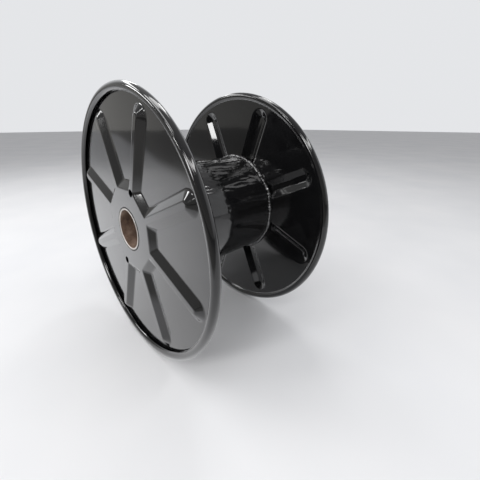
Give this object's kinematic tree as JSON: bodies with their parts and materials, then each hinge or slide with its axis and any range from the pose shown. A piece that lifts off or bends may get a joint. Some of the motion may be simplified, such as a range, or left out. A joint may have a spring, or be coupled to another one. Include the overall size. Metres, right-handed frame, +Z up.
{
  "type": "steel wire reel",
  "caption": "Pressed-steel reel for wire: ribbed dished flanges with curled rims, a rolled barrel and a centre tube for an axle.",
  "frame": {"origin": "middle of the reel on the axis of its bore", "axes": "+Y along the bore from the front flange to the back one, +Z up with the reel lying on its two rims"},
  "size_m": [0.7999, 0.45, 0.8],
  "materials": {
    "black_paint": "gloss black enamel",
    "tube_steel": "brown mill scale with light rust"
  },
  "bodies": {
    "root": {"front_flange": "black_paint", "back_flange": "black_paint", "barrel": "black_paint", "centre_tube": "tube_steel"}
  },
  "joints": []
}
